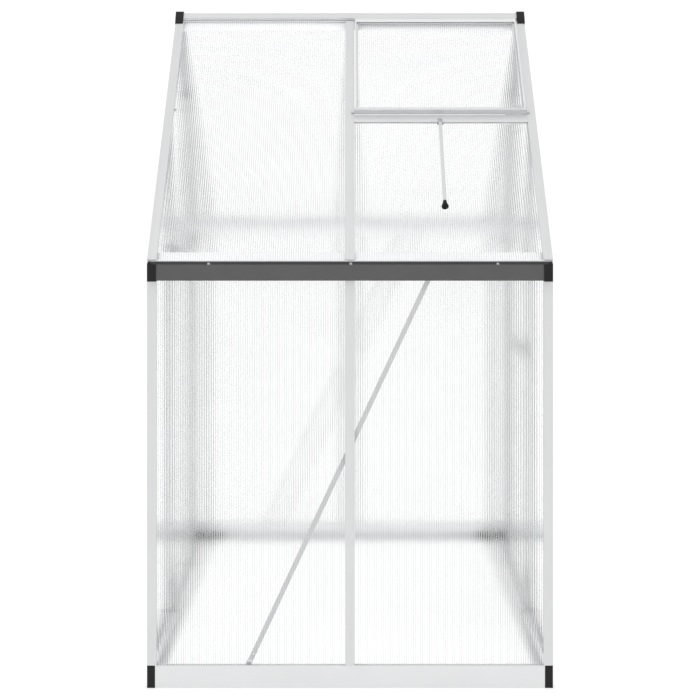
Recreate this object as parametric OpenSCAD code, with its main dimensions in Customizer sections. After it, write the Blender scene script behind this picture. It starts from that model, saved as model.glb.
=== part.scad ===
// Walk-in gable greenhouse: aluminium profile frame, twin-wall sheet glazing,
// hinged gable door, roof vent with a prop stay, gutters on both eaves.
// X runs along the ridge, Y across the gables (front eaves at -Y), Z up.
// The origin is on the ground at the centre of the footprint.

/* [House] */
// Length along the ridge over the gable plates
house_l = 1144; // [1130:2:1200]
// Depth between the outer plates of the two eaves walls
house_d = 1626; // [1610:2:1660]
// Height of the apex of the roof's outer plane
apex_z = 1938; // [1920:1:1960]
// Pitch of both roof slopes in degrees
pitch = 42; // [41.5:0.1:42.5]

/* [Profiles] */
// Visible width of posts, mullions and rafters
face_w = 27; // [26:0.5:28]
// Wall thickness of the aluminium extrusions
sheet_t = 1.4; // [1.3:0.1:1.5]
// Thickness of the glazing sheet
pane_t = 4; // [3.6:0.1:4.2]
// Height of the base sill
sill_h = 63; // [62:1:66]

/* [Door] */
// Height of the top edge of the door leaf
door_top = 1609; // [1590:1:1610]
// Height of the centre of the door's middle rail
door_mid = 845; // [800:5:900]

/* [Vent] */
// Slope distance from the apex to the front face of the sash
vent_len = 488; // [480:1:488]
// Length of the stay from its pivot to its tip
stay_len = 358; // [340:1:360]

/* [Hidden] */
$fn = 48;
half_x = house_l / 2;
half_y = house_d / 2;
cos_p = cos(pitch);
sin_p = sin(pitch);
tan_p = tan(pitch);
lap = 0.01;                        // overlap that joins touching parts

// Depths in from the outer face of the frame
slot_in = 6.2;                     // inner side of the pane slot
plate_in = slot_in + sheet_t;      // inner side of the plate behind the pane
lip = 15.4;                        // inner face of every profile
flange_in = lip + sheet_t;         // inner face of every bolting flange
pane_out = (sheet_t + slot_in - pane_t) / 2;
pane_in = pane_out + pane_t;

// Layout shared by several pieces
corner_cut = 23;                   // sills stop this far from the outer corner
tab_gap = 7.9;                     // flanges stop here, short of the corner's side plate
sill_shelf = 46;                   // underside of the sill's shelf
eave_low = 1149;                   // bottom of the eaves beam's face
eave_shelf = 1164;                 // underside of the eaves beam's shelf
upright_z0 = sill_h + 0.2;         // foot of posts, mullions and studs
tongue_z0 = sill_shelf + sheet_t + 0.3;
stud_x = 271;                      // gable studs either side of the centre
beam_x = half_x - 1.8;             // half length of the eaves and ridge beams
slope_len = half_y / cos_p;        // from the apex to the eaves wall

// Fasteners
bolt_r = 2.97;
bolt_len = 12;
bolt_head = 10;
head_t = 3.5;
hole_r = 3.3;
screw_r = 1.95;
screw_len = 8;
tap_r = 2.05;                      // screw holes
corner_screw = 11.8;               // corner screws, from the outer corner
post_screw_zs = [68, 1140];
bar_bolt_zs = [54, 1154.2];        // bars on the base sill and on the eaves beam
bracket_z = 52.9;                  // bolts of the base corner brackets
bracket_off = 40;                  // the same bolts, from the outer corner
bracket_xs = [-half_x + bracket_off, half_x - bracket_off];
bracket_ys = [-half_y + bracket_off, half_y - bracket_off];
rafter_xs = [-half_x + 8.4, 0, half_x - 8.4];
rafter_runs = [45, 1068];          // rafter bolts, down the slope
vent_bolt_run = 499;
gutter_screw_xs = [-398, 2, 416];
gutter_screw_z = 1194.5;
button_z = door_mid + 245;         // turn button on the latch stud
brace_foot = [-285, 65];           // brace bolts: along the wall, height
brace_head = [225.5, 1157];

alu = [0.80, 0.81, 0.82];
dull_alu = [0.70, 0.71, 0.73];
steel = [0.55, 0.56, 0.58];
black = [0.13, 0.13, 0.13];
grey = [0.36, 0.36, 0.37];
glazing = [0.88, 0.93, 0.95, 0.45];

// ---------- frames of reference ----------
// Wall frames: x along the wall, y inwards from its outer face, z up
module front_wall() translate([0, -half_y, 0]) children();
module rear_wall() translate([0, half_y, 0]) rotate([0, 0, 180]) children();
module right_wall() translate([half_x, 0, 0]) rotate([0, 0, 90]) children();
module left_wall() translate([-half_x, 0, 0]) rotate([0, 0, -90]) children();
// Rear wall as the mirror image of the front one
module rear_mirrored() rear_wall() mirror([1, 0, 0]) children();
module both_eaves() {
  front_wall() children();
  rear_mirrored() children();
}
// Slope frames: x along the ridge, -y down the slope, z outwards.
// A "run" is a distance down the slope from the apex.
module front_slope() translate([0, 0, apex_z]) rotate([pitch, 0, 0]) children();
module rear_slope() mirror([0, 1, 0]) front_slope() children();
module both_slopes() {
  front_slope() children();
  rear_slope() children();
}
// Copies at -x and +x
module both_sides() for (k = [0, 1]) mirror([k, 0, 0]) children();
// Turns z to point along +y, or along +x, from a given point
module inward(at) translate(at) rotate([-90, 0, 0]) children();
module sideways(at) translate(at) rotate([0, 90, 0]) children();
// Extrudes a (y, z) section along x
module along(x0, x1) translate([x0, 0, 0]) rotate([90, 0, 90]) linear_extrude(x1 - x0) children();
// Extrudes an (x, y) section upwards
module up(z0, z1) translate([0, 0, z0]) linear_extrude(z1 - z0) children();
// Lays an (x, y) section level along a wall, its x turned to z
module level_bar(x0, x1, z) translate([0, 0, z])
  along(x0, x1) rotate(90) mirror([0, 1]) children();
// Extrudes an (x, depth) section down a slope
module down(run0, run1) translate([0, -run0, 0]) rotate([90, 0, 0])
  linear_extrude(run1 - run0) mirror([0, 1]) children();
// Extrudes a (run, height) section along x on a slope
module across(x0, x1) along(x0, x1) mirror([1, 0]) children();
// Extrudes an (x, z) outline through the pane's thickness
module as_pane() translate([0, pane_in, 0]) rotate([90, 0, 0]) linear_extrude(pane_t) children();
// Rectangle by its two corners
module rect(x0, y0, x1, y1) translate([x0, y0]) square([x1 - x0, y1 - y0]);

// Height at distance y from the ridge line, off inside the outer roof plane
function plane_z(y, off) = apex_z - y * tan_p - off / cos_p;
// Slope point as [distance from the ridge line, height from the apex]
function slope_point(run, height) =
  [run * cos_p + height * sin_p, -run * sin_p + height * cos_p];

// ---------- fasteners ----------
// Square-headed bolt: head under the origin, shank upwards along z
module square_bolt() {
  translate([-bolt_head / 2, -bolt_head / 2, -head_t]) cube([bolt_head, bolt_head, head_t]);
  translate([0, 0, -0.5]) cylinder(r = bolt_r, h = bolt_len + 0.5);
}
module hex_nut() difference() {
  cylinder(r = 5.77, h = 5, $fn = 6);
  translate([0, 0, -1]) cylinder(r = bolt_r + 0.05, h = 7);
}
// Self-tapping screw: head above the origin, shank downwards
module tap_screw() {
  cylinder(r = 3.9, h = 2.4);
  translate([0, 0, -screw_len]) cylinder(r = screw_r, h = screw_len + 0.1);
}
// On a wall, the bolt's shank and the screw's head point inwards
module wall_bolt(x, z, depth = lip - sheet_t) inward([x, depth, z]) square_bolt();
module wall_nut(x, z, depth = flange_in) inward([x, depth, z]) hex_nut();
module wall_screw(x, z) inward([x, flange_in, z]) tap_screw();
module wall_hole(x, z, r = hole_r) inward([x, lip - 1, z]) cylinder(r = r, h = sheet_t + 2);
// The same on a slope
module slope_bolt(x, run) translate([x, -run, sheet_t - lip]) rotate([180, 0, 0]) square_bolt();
module slope_nut(x, run) translate([x, -run, -flange_in]) rotate([180, 0, 0]) hex_nut();
module slope_screw(x, run) translate([x, -run, -flange_in]) rotate([180, 0, 0]) tap_screw();
module slope_hole(x, run, r = hole_r, depth0 = lip - 1, depth1 = flange_in + 1)
  translate([x, -run, -depth1]) cylinder(r = r, h = depth1 - depth0);

// ---------- sections ----------
channel_x = 8;                     // half width of the bolt channel
mouth_x = 3.3;                     // half width of its mouth
// Square tube with its outer corner at the origin
module corner_tube() difference() {
  square(lip);
  translate([sheet_t, sheet_t]) square(lip - 2 * sheet_t);
}
// Corner profile: tube with an outer and an inner plate on both sides
module corner_section() {
  corner_tube();
  rect(lip - lap, 0, face_w, sheet_t);
  rect(0, lip - lap, sheet_t, face_w);
  rect(lip - lap, slot_in, face_w, plate_in);
  rect(slot_in, lip - lap, plate_in, face_w);
}
// Bolt channel from its outer side to the lip, hollow from hollow_y
module channel(outer_y, hollow_y) difference() {
  rect(-channel_x, outer_y, channel_x, lip);
  rect(-channel_x + sheet_t, hollow_y, channel_x - sheet_t, lip - sheet_t);
  rect(-mouth_x, lip - sheet_t - lap, mouth_x, lip + 1);
}
// Inner half of the bar profile: plate with its bolt channel
module bar_channel() {
  rect(-face_w / 2, slot_in, face_w / 2, plate_in);
  channel(plate_in - lap, plate_in);
}
// Outer half of the bar profile: face plate and web
module bar_face() {
  rect(-face_w / 2, 0, face_w / 2, sheet_t);
  rect(-0.8, sheet_t - lap, 0.8, slot_in + lap);
}
module bar_section() {
  bar_face();
  bar_channel();
}
// Channel alone, where a bar's end reaches behind a sill or beam
module bar_tongue(z0, z1) up(z0, z1) channel(plate_in, plate_in + 0.4);

// ---------- base ----------
foot_w = 38;                       // ground flange
foot_t = 1.6;
// Sill in (depth, height), without its ground flange
module sill_section() {
  rect(0, 0, sheet_t, sill_h);
  rect(0, sill_shelf, flange_in, sill_shelf + sheet_t);
  rect(slot_in, sill_shelf, plate_in, sill_h);
  rect(lip, 30, flange_in, sill_h);
}
module long_sill() difference() {
  union() {
    along(-half_x + corner_cut, half_x - corner_cut) {
      sill_section();
      rect(0, 0, foot_w, foot_t);
    }
    // flange tabs that carry the corner posts
    along(-half_x + tab_gap, -half_x + corner_cut + 0.1) rect(lip, sill_shelf, flange_in, 76);
    along(half_x - corner_cut - 0.1, half_x - tab_gap) rect(lip, sill_shelf, flange_in, 76);
    // tab for the brace
    along(brace_foot[0] - 9, brace_foot[0] + 9) rect(lip, 50, flange_in, 74);
  }
  wall_hole(0, bar_bolt_zs[0]);
  for (x = [-half_x + corner_screw, half_x - corner_screw]) wall_hole(x, post_screw_zs[0], tap_r);
  for (x = bracket_xs) wall_hole(x, bracket_z);
  // holes in the ground flange
  for (x = [-450, 450]) translate([x, 28, -1]) cylinder(r = 4, h = 4);
  wall_hole(brace_foot[0], brace_foot[1]);
}
module side_sill() difference() {
  union() {
    along(-half_y + corner_cut, half_y - corner_cut) sill_section();
    // ground flange, clear of those of the long sills
    along(-half_y + foot_w + 1, half_y - foot_w - 1) rect(0, 0, foot_w, foot_t);
  }
  for (x = [-stud_x, stud_x]) wall_hole(x, bar_bolt_zs[0]);
  for (x = bracket_ys) wall_hole(x, bracket_z);
}
module front_base_sill() color(alu) front_wall() long_sill();
module rear_base_sill() color(alu) rear_mirrored() long_sill();
module left_base_sill() color(alu) left_wall() side_sill();
module right_base_sill() color(alu) right_wall() side_sill();

// Copies a piece built at the origin to the four outer corners
module at_corners() both_sides() for (j = [0, 1])
  mirror([0, j, 0]) translate([-half_x, -half_y, 0]) children();
block_gap = 0.3;                   // block face behind the outer corner
block_w = corner_cut - 2 * block_gap;
arm_l = 42;                        // arms that reach into the two sills
module corner_block() {
  translate([block_gap, block_gap, 0]) cube([block_w, block_w, 45.5]);
  // narrower top with two outer skins
  translate([block_gap, block_gap, 45.4]) {
    cube([14.6, 14.6, 17.2]);
    cube([block_w, 1.3, 17.2]);
    cube([1.3, block_w, 17.2]);
  }
  // spigot inside the post, drilled for its screw
  translate([2.4, 2.4, 62.5]) difference() {
    cube([11, 10.6, 24]);
    inward([corner_screw - 2.4, 5, post_screw_zs[0] - 62.5]) cylinder(r = tap_r, h = 9);
  }
  translate([22.6, 2, 3]) cube([arm_l, 12.6, 41]);
  translate([2, 22.6, 3]) cube([12.6, arm_l, 41]);
}
module base_corner_blocks() color(black) at_corners() corner_block();
bracket_l = 36;
bracket_t = 2;
module corner_bracket() difference() {
  translate([flange_in, flange_in, sill_shelf]) difference() {
    cube([bracket_l, bracket_l, 16.6]);
    translate([bracket_t, bracket_t, -1]) cube([40, 40, 24]);
  }
  inward([bracket_off, 0, bracket_z]) cylinder(r = hole_r, h = 60);
  sideways([0, bracket_off, bracket_z]) cylinder(r = hole_r, h = 60);
}
module base_corner_brackets() color(steel) at_corners() corner_bracket();

// ---------- uprights ----------
module post() difference() {
  up(upright_z0, eave_low - 0.4) corner_section();
  // screw holes to the long sill and to the eaves beam
  for (z = post_screw_zs) inward([corner_screw, lip - 3, z]) cylinder(r = tap_r, h = 5);
}
module front_left_post() color(alu) translate([-half_x, -half_y, 0]) post();
module front_right_post() color(alu) mirror([1, 0, 0]) front_left_post();
module rear_left_post() color(alu) mirror([0, 1, 0]) front_left_post();
module rear_right_post() color(alu) mirror([0, 1, 0]) front_right_post();
module mullion() {
  up(upright_z0, eave_low - 0.2) bar_section();
  bar_tongue(tongue_z0, eave_shelf - 0.3);
}
module front_mullion() color(alu) front_wall() mullion();
module rear_mullion() color(alu) rear_wall() mullion();
// Everything above a plane that lies off inside the gable's roof line
module above_rafters(off) both_sides() translate([0, 0, apex_z - off / cos_p])
  rotate([0, -pitch, 0]) translate([-1400, -20, 0]) cube([1400, 80, 400]);
module stud() difference() {
  translate([stud_x, 0, 0]) {
    up(upright_z0, 1700) bar_section();
    bar_tongue(tongue_z0, upright_z0 + 0.1);
  }
  above_rafters(27.4);
}
module left_gable_studs() color(alu) left_wall() both_sides() stud();
module door_hinge_stud() color(alu) right_wall() stud();
module door_latch_stud() color(alu) right_wall() mirror([1, 0, 0]) difference() {
  stud();
  inward([stud_x, -1, button_z]) cylinder(r = 1.98, h = 6.3);
}

// ---------- horizontal gable bars ----------
rail_z = 1163.5;
header_z = 1625.5;
rail_end = half_y - 45;                  // side rails: end at the eaves corner
rail_start = stud_x + face_w / 2 + 0.4;  // side rails: end at the stud
mid_end = stud_x - face_w / 2 - 0.4;     // bars between the studs
module side_rails() {
  level_bar(-rail_end, -rail_start, rail_z) bar_section();
  level_bar(rail_start, rail_end, rail_z) bar_section();
}
module gable_rails() color(alu) {
  left_wall() {
    side_rails();
    level_bar(-mid_end, mid_end, rail_z) bar_section();
  }
  right_wall() side_rails();
}
module door_header() color(alu) right_wall() level_bar(-mid_end, mid_end, header_z) bar_section();

// ---------- eaves ----------
eave_tab_z = 1131;                 // foot of the tabs that carry the corner posts
// Strip parallel to the roof between two depths in the wall
module eave_strip(y0, y1, off0, off1) polygon([
  [y0, plane_z(half_y - y0, off0)], [y1, plane_z(half_y - y1, off0)],
  [y1, plane_z(half_y - y1, off1)], [y0, plane_z(half_y - y0, off1)]]);
module eave_section() {
  rect(0, eave_low, sheet_t, 1204);
  rect(0, eave_shelf, flange_in, eave_shelf + sheet_t);
  rect(slot_in, eave_low, plate_in, eave_shelf + 0.1);
  rect(lip, 1147, flange_in, 1192);
  eave_strip(0.2, 42, lip + 0.03, flange_in - 0.03);
  eave_strip(0.2, 10, slot_in + 0.05, plate_in);
}
module eave_beam() difference() {
  union() {
    along(-beam_x, beam_x) eave_section();
    along(-half_x + tab_gap, -half_x + corner_cut) rect(lip, eave_tab_z, flange_in, 1150);
    along(half_x - corner_cut, half_x - tab_gap) rect(lip, eave_tab_z, flange_in, 1150);
  }
  wall_hole(0, bar_bolt_zs[1]);
  both_sides() {
    wall_hole(half_x - corner_screw, post_screw_zs[1], tap_r);
    // notch round the post's side plate
    translate([half_x - tab_gap, lip - 0.5, eave_tab_z]) cube([20, 3, 18.2]);
  }
  wall_hole(brace_head[0], brace_head[1]);
  // rafter bolts through the sloping flange
  for (x = rafter_xs) translate([0, half_y, 0]) front_slope() slope_hole(x, rafter_runs[1]);
  for (x = gutter_screw_xs) inward([x, -1, gutter_screw_z]) cylinder(r = tap_r, h = 4);
}
module front_eave_beam() color(alu) front_wall() eave_beam();
module rear_eave_beam() color(alu) rear_mirrored() eave_beam();

gutter_x = half_x - 6.2;           // half length of the gutter
// Gutter section: (depth, height)
gutter_points = [
  [0, 1201.5], [-1.8, 1201.5], [-1.8, 1156], [-5, 1151.8], [-26.5, 1151.8],
  [-30.2, 1155.5], [-30.2, 1192.4], [-27.6, 1192.4], [-27.6, 1195], [-32, 1195],
  [-32, 1153.8], [-28, 1150], [-3.6, 1150], [0, 1155]];
// End cap: (depth, height) of its plate and of the skirt round the gutter
cap_plate = [[-34, 1148], [-0.6, 1148], [-0.6, 1203], [-34, 1197]];
cap_skirt = [
  [-34, 1148], [-1, 1148], [-1, 1149.8], [-28.2, 1149.8], [-32.2, 1153.7],
  [-32.2, 1195.2], [-34, 1196.2]];
module gutter() difference() {
  along(-gutter_x, gutter_x) polygon(gutter_points);
  for (x = gutter_screw_xs) inward([x, -4, gutter_screw_z]) cylinder(r = tap_r, h = 6);
}
module front_gutter() color(grey) front_wall() gutter();
module rear_gutter() color(grey) rear_mirrored() gutter();
module end_cap() {
  along(-half_x + 4, -gutter_x - 0.2) polygon(cap_plate);
  along(-gutter_x - 0.3, -half_x + 29) polygon(cap_skirt);
}
module eave_end_caps() color(black) for (j = [0, 1])
  mirror([0, j, 0]) both_sides() front_wall() end_cap();
module gutter_screw(x) {
  inward([x, -5.2, gutter_screw_z]) cylinder(r = 4, h = 3.3);
  inward([x, -2, gutter_screw_z]) cylinder(r = screw_r, h = 4.7);
}
module gutter_screws() color(steel) both_eaves() for (x = gutter_screw_xs) gutter_screw(x);

// ---------- ridge ----------
vent_axis_run = 24.2;              // vent hinge axis on the slope
vent_axis_h = 2.3;
vent_axis = slope_point(vent_axis_run, vent_axis_h);
socket_angles = [34, 76];          // edges of the socket's opening, above and below level
// Crest: (y, height from the apex)
crest_points = [[0.01, 6], [-2.5, 6], [-2.5, 4], [-17, -11], [-15.4, -11.8], [-1, 3], [0.01, 3]];
// Leg down to the socket: (y, height from the apex)
leg_points = [[-17, -11], [-17, -15.6], [-15.4, -15.6], [-15.4, -11], [-16.2, -10.4]];
// Half of the end cap's plate, its mirror image follows: (y, height from the apex)
cap_points = [
  [-24, -38], [24, -38], [35, -30], [22.5, -9],
  [5, 10], [-5, 10], [-22.5, -9], [-35, -30]];
// Wing of the end cap that lies on the rafter: (y, height from the apex)
wing_points = [
  [0, 10], [5, 10], [22.5, -9], slope_point(46, 2.2), slope_point(46, 0.1),
  [17.7, -17.7 * tan_p + 0.1 / cos_p], [17.7, -10.8], [2.9, 4.4], [2.9, 6.4], [0, 6.4]];
function from_apex(points) = [for (point = points) [point[0], apex_z + point[1]]];
// Flange parallel to the roof from the ridge line out to a given reach
module ridge_flange(reach, off0, off1) polygon([
  [0.01, plane_z(0, off0)], [-reach, plane_z(reach, off0)],
  [-reach, plane_z(reach, off1)], [0.01, plane_z(0, off1)]]);
module ridge_half() {
  polygon(from_apex(crest_points));
  rect(-1, apex_z - 26, 0.01, apex_z + 4);
  ridge_flange(15, slot_in, plate_in);
  ridge_flange(34, lip + 0.03, flange_in - 0.03);
}
// Leg and hinge socket, open towards the slope
module socket_half() {
  axis_z = apex_z + vent_axis[1];
  difference() {
    union() {
      translate([-vent_axis[0], axis_z]) circle(r = 3.5);
      rect(-17, axis_z - 1, -15.5, axis_z + 3);
      polygon(from_apex(leg_points));
    }
    translate([-vent_axis[0], axis_z]) circle(r = 2.3);
    translate([-vent_axis[0], axis_z]) polygon([
      [0, 0], [-9 * cos(socket_angles[0]), 9 * sin(socket_angles[0])],
      [-9, 0], [-9 * cos(socket_angles[1]), -9 * sin(socket_angles[1])]]);
  }
}
module ridge_beam() color(alu) difference() {
  union() {
    along(-beam_x, beam_x) both_sides() ridge_half();
    // the sockets stop short of the end caps
    along(-half_x + 25, half_x - 25) both_sides() socket_half();
  }
  for (x = rafter_xs) both_slopes() slope_hole(x, rafter_runs[0]);
}
module ridge_cap() {
  along(-half_x - 1.4, -half_x - 0.2) translate([0, apex_z]) polygon(cap_points);
  along(-half_x - 0.3, -half_x + 24) translate([0, apex_z]) both_sides() polygon(wing_points);
}
module ridge_end_caps() color(black) both_sides() ridge_cap();

// ---------- rafters ----------
rafter_top = 31.5;                 // runs of the outer plate and the inner profile
rafter_foot = slope_len - 0.3;
inner_foot = 1082;
gusset_run = (stud_x + 5) / cos_p; // gusset screw on the rafter
module end_rafter() difference() {
  union() {
    front_slope() translate([-half_x, 0, 0]) {
      down(rafter_top, rafter_foot) rect(0, 0, face_w, sheet_t);
      down(29, inner_foot) corner_tube();
      down(29, inner_foot) rect(lip - lap, slot_in, face_w, plate_in);
      down(66, 1044) rect(slot_in, lip - lap, plate_in, face_w);
    }
    // side plate on the gable face
    translate([-half_x, 0, 0]) rotate([90, 0, 90]) linear_extrude(sheet_t) polygon([
      [-0.3, plane_z(0.3, 0)], [-half_y + 0.4, plane_z(half_y - 0.4, 0)],
      [-half_y + 0.4, plane_z(half_y - 0.4, face_w)], [-0.3, plane_z(0.3, face_w)]]);
  }
  front_slope() for (run = rafter_runs) slope_hole(rafter_xs[0], run, hole_r, lip - 3, lip + 1);
  // gusset hole on the inner side, above the stud
  front_slope() sideways([-half_x + lip - 3, -gusset_run, -corner_screw])
    cylinder(r = tap_r, h = 4);
}
module front_left_rafter() color(alu) end_rafter();
module front_right_rafter() color(alu) difference() {
  mirror([1, 0, 0]) end_rafter();
  front_slope() slope_hole(half_x - corner_screw, vent_bolt_run, tap_r, lip - 3, lip + 1);
}
module rear_left_rafter() color(alu) mirror([0, 1, 0]) end_rafter();
module rear_right_rafter() color(alu) mirror([0, 1, 0]) mirror([1, 0, 0]) end_rafter();
module centre_rafter() front_slope() {
  down(rafter_top, rafter_foot) bar_face();
  down(rafter_top, inner_foot) bar_channel();
}
module front_centre_rafter() color(alu) centre_rafter();
module rear_centre_rafter() color(alu) mirror([0, 1, 0]) centre_rafter();

// ---------- roof vent ----------
sash_x0 = face_w / 2 + 1.5;
sash_x1 = half_x - face_w - 1.5;
// Heights of the sash profiles: lower skin z0 to z1, upper skin z2 to z3
sash_z0 = 0.4;
sash_z1 = sash_z0 + sheet_t;
sash_z3 = 8.2;
sash_z2 = sash_z3 - sheet_t;
top_rail_run = 33;
sash_front_h = 20;
front_back = vent_len - 24;        // upper edge of the bottom rail
sill_run0 = 490;
sill_run1 = 507;                   // lower leg of the vent sill
rivet_run = 510.5;                 // stay bracket rivets
rivet_xs = [-3.4, 3.4];
module vent_sill() color(alu) front_slope() difference() {
  union() {
    across(face_w / 2 + 0.3, half_x - face_w - 0.3) {
      rect(sill_run0, -sheet_t, 522, 0);
      rect(sill_run0, -flange_in, sill_run0 + sheet_t, 0);
      rect(sill_run1, -flange_in, sill_run1 + sheet_t, 0);
      rect(500, -plate_in, 522, -slot_in);
    }
    // bolting flange
    across(-8, half_x - tab_gap) rect(sill_run0, -flange_in, sill_run1 + sheet_t, -lip);
  }
  slope_hole(0, vent_bolt_run);
  slope_hole(half_x - corner_screw, vent_bolt_run, tap_r);
  for (x = rivet_xs) translate([stay_x + x, -rivet_run, -3]) cylinder(r = 1.4, h = 5);
}
module sash_top_rail() color(dull_alu) front_slope() {
  // hinge bead, its web and the back of the rail
  across(sash_x0, sash_x1) {
    translate([vent_axis_run, vent_axis_h]) circle(r = 2.2);
    rect(vent_axis_run, vent_axis_h - 0.8, top_rail_run + 1, vent_axis_h + 0.8);
    rect(top_rail_run, sash_z0, top_rail_run + sheet_t, sash_z3);
  }
  across(sash_x0 + 1.5, sash_x1 - 1.5) {
    rect(top_rail_run, sash_z2, 47, sash_z3);
    rect(top_rail_run, sash_z0, 47, sash_z1);
  }
}
module sash_bottom_rail() color(dull_alu) front_slope() across(sash_x0 + 0.2, sash_x1 - 0.2)
  polygon([[front_back, sash_z0], [vent_len, sash_z0], [vent_len, sash_front_h],
    [front_back, sash_z3], [front_back, sash_z2], [vent_len - sheet_t, 17.8],
    [vent_len - sheet_t, sash_z1], [front_back, sash_z1]]);
module sash_stile() translate([0, -47.3, 0]) rotate([90, 0, 0])
  linear_extrude(front_back - 0.3 - 47.3) {
    rect(0, sash_z0, sheet_t, sash_z3);
    rect(0, sash_z2, 6, sash_z3);
    rect(0, sash_z0, 12, sash_z1);
  }
module sash_stiles() color(dull_alu) front_slope() {
  translate([sash_x0, 0, 0]) sash_stile();
  translate([sash_x1, 0, 0]) mirror([1, 0, 0]) sash_stile();
}
pane_foot = vent_len - 10;         // lower edge of the sash pane
pane_gap = sheet_t + 0.6;
module sash_pane() color(glazing) front_slope() translate([sash_x0 + pane_gap, -pane_foot, 2.3])
  cube([sash_x1 - sash_x0 - 2 * pane_gap, pane_foot - 35.4, pane_t]);
// Plate over the bottom rail's end, with an outer peg and a plug inside the rail
module end_plug() {
  across(sash_x0 - 1.2, sash_x0 - 0.1) polygon([[front_back, sash_z0], [vent_len, sash_z0],
    [vent_len, sash_front_h], [front_back, sash_z3]]);
  across(sash_x0 - 11, sash_x0 - 1.1) rect(vent_len - 12, sash_z0, vent_len - 5, 4.4);
  across(sash_x0 - 0.2, sash_x0 + 9) rect(vent_len - 8.4, 2.1, vent_len - 1.7, 13.2);
}
module sash_end_plugs() color(black) front_slope() {
  end_plug();
  translate([sash_x0 + sash_x1, 0, 0]) mirror([1, 0, 0]) end_plug();
}

// ---------- vent stay ----------
stay_x = 276;
pivot_run = 538;
pivot_h = 9;
ear_x = 6.8;                       // half width over the bracket's ears
ear_t = 1.4;
bar_x = 5.25;                      // half width of the stay bar
rim_t = 1.4;
module at_pivot() front_slope() translate([stay_x, -pivot_run, pivot_h]) children();
module stay_bracket() color(steel) front_slope() translate([stay_x, 0, 0]) difference() {
  union() {
    translate([-ear_x, -528, 0]) cube([2 * ear_x, 22, 1.6]);
    for (x = [-ear_x, ear_x - ear_t]) {
      translate([x, -pivot_run, 0]) cube([ear_t, 22, 13]);
      sideways([x, -pivot_run, pivot_h]) cylinder(r = 5.5, h = ear_t);
    }
    for (x = rivet_xs) {
      translate([x, -rivet_run, -1.6]) cylinder(r = 1.3, h = 1.7);
      translate([x, -rivet_run, 1.5]) cylinder(r = 2.4, h = 1.4);
    }
  }
  sideways([-12, -pivot_run, pivot_h]) cylinder(r = 2.05, h = 24);
}
module stay_pivot_pin() color(steel) at_pivot() {
  sideways([-8, 0, 0]) cylinder(r = 2, h = 16);
  for (x = [-8.8, 7]) sideways([x, 0, 0]) cylinder(r = 3.6, h = 1.8);
}
module stay_bar() color(alu) at_pivot() difference() {
  union() {
    sideways([-bar_x, 0, 0]) cylinder(r = 4.2, h = 2 * bar_x);
    translate([-bar_x, 26 - stay_len, -1]) cube([2 * bar_x, stay_len - 26, 2]);
    // tang inside the tip
    translate([-3, 13 - stay_len, -1]) cube([6, 14, 2]);
    // raised rims
    for (x = [-bar_x, bar_x - rim_t])
      translate([x, 28 - stay_len, -1]) cube([rim_t, stay_len - 48, 3.6]);
  }
  sideways([-8, 0, 0]) cylinder(r = 2.06, h = 16);
  for (k = [0 : 4]) translate([0, -60 - 52 * k, -3]) cylinder(r = 2.2, h = 8);
}
// Knob outline: (radius, distance from the end)
tip_points = [
  [0, 0], [9.2, 0], [10.4, 1.2], [10.4, 5.5], [8.2, 12], [6, 17], [5.4, 25], [0, 25]];
module stay_tip() color(black) at_pivot() inward([0, -stay_len, 0]) difference() {
  rotate_extrude() polygon(tip_points);
  // finger flutes
  for (k = [0 : 7]) rotate([0, 0, 22.5 + 45 * k])
    translate([10.8, 0, -1]) cylinder(r = 2.2, h = 14, $fn = 24);
  translate([-3.1, -1.1, 12.7]) cube([6.2, 2.2, 20]);
}

// ---------- bracing ----------
brace_t = 1.5;
brace_w = 14;
brace_over = 12;                   // bar beyond each end bolt
brace_span = brace_head - brace_foot;
brace_len = norm(brace_span);
module brace() translate([brace_foot[0], flange_in, brace_foot[1]])
  rotate([0, -atan2(brace_span[1], brace_span[0]), 0]) difference() {
    translate([-brace_over, 0, -brace_w / 2]) cube([brace_len + 2 * brace_over, brace_t, brace_w]);
    for (x = [0, brace_len]) inward([x, -1, 0]) cylinder(r = hole_r, h = 4);
    // small hole beside the foot bolt
    inward([28, -1, 0]) cylinder(r = 2, h = 4);
  }
module front_brace() color(dull_alu) front_wall() brace();
module rear_brace() color(dull_alu) rear_mirrored() brace();

// ---------- gussets, bolts and nuts ----------
gusset_w = 18;
gusset_screw = slope_point(gusset_run, -corner_screw);
screw_y = gusset_screw[0];
screw_z = apex_z + gusset_screw[1];
// Gussets of a half gable: near x, z, far x, z, and whether the far end is
// screwed to the rafter
left_gussets = [
  [stud_x, 1625, screw_y, screw_z, true],
  [stud_x, rail_z, rail_start + 24, rail_z + 0.01, false],
  [stud_x, rail_z + 34, mid_end - 24, rail_z, false]];
right_gussets = [
  [stud_x, 1654, screw_y, screw_z, true],
  [stud_x, rail_z, rail_start + 24, rail_z + 0.01, false],
  [stud_x, 1600, mid_end - 24, header_z, false]];
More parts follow.
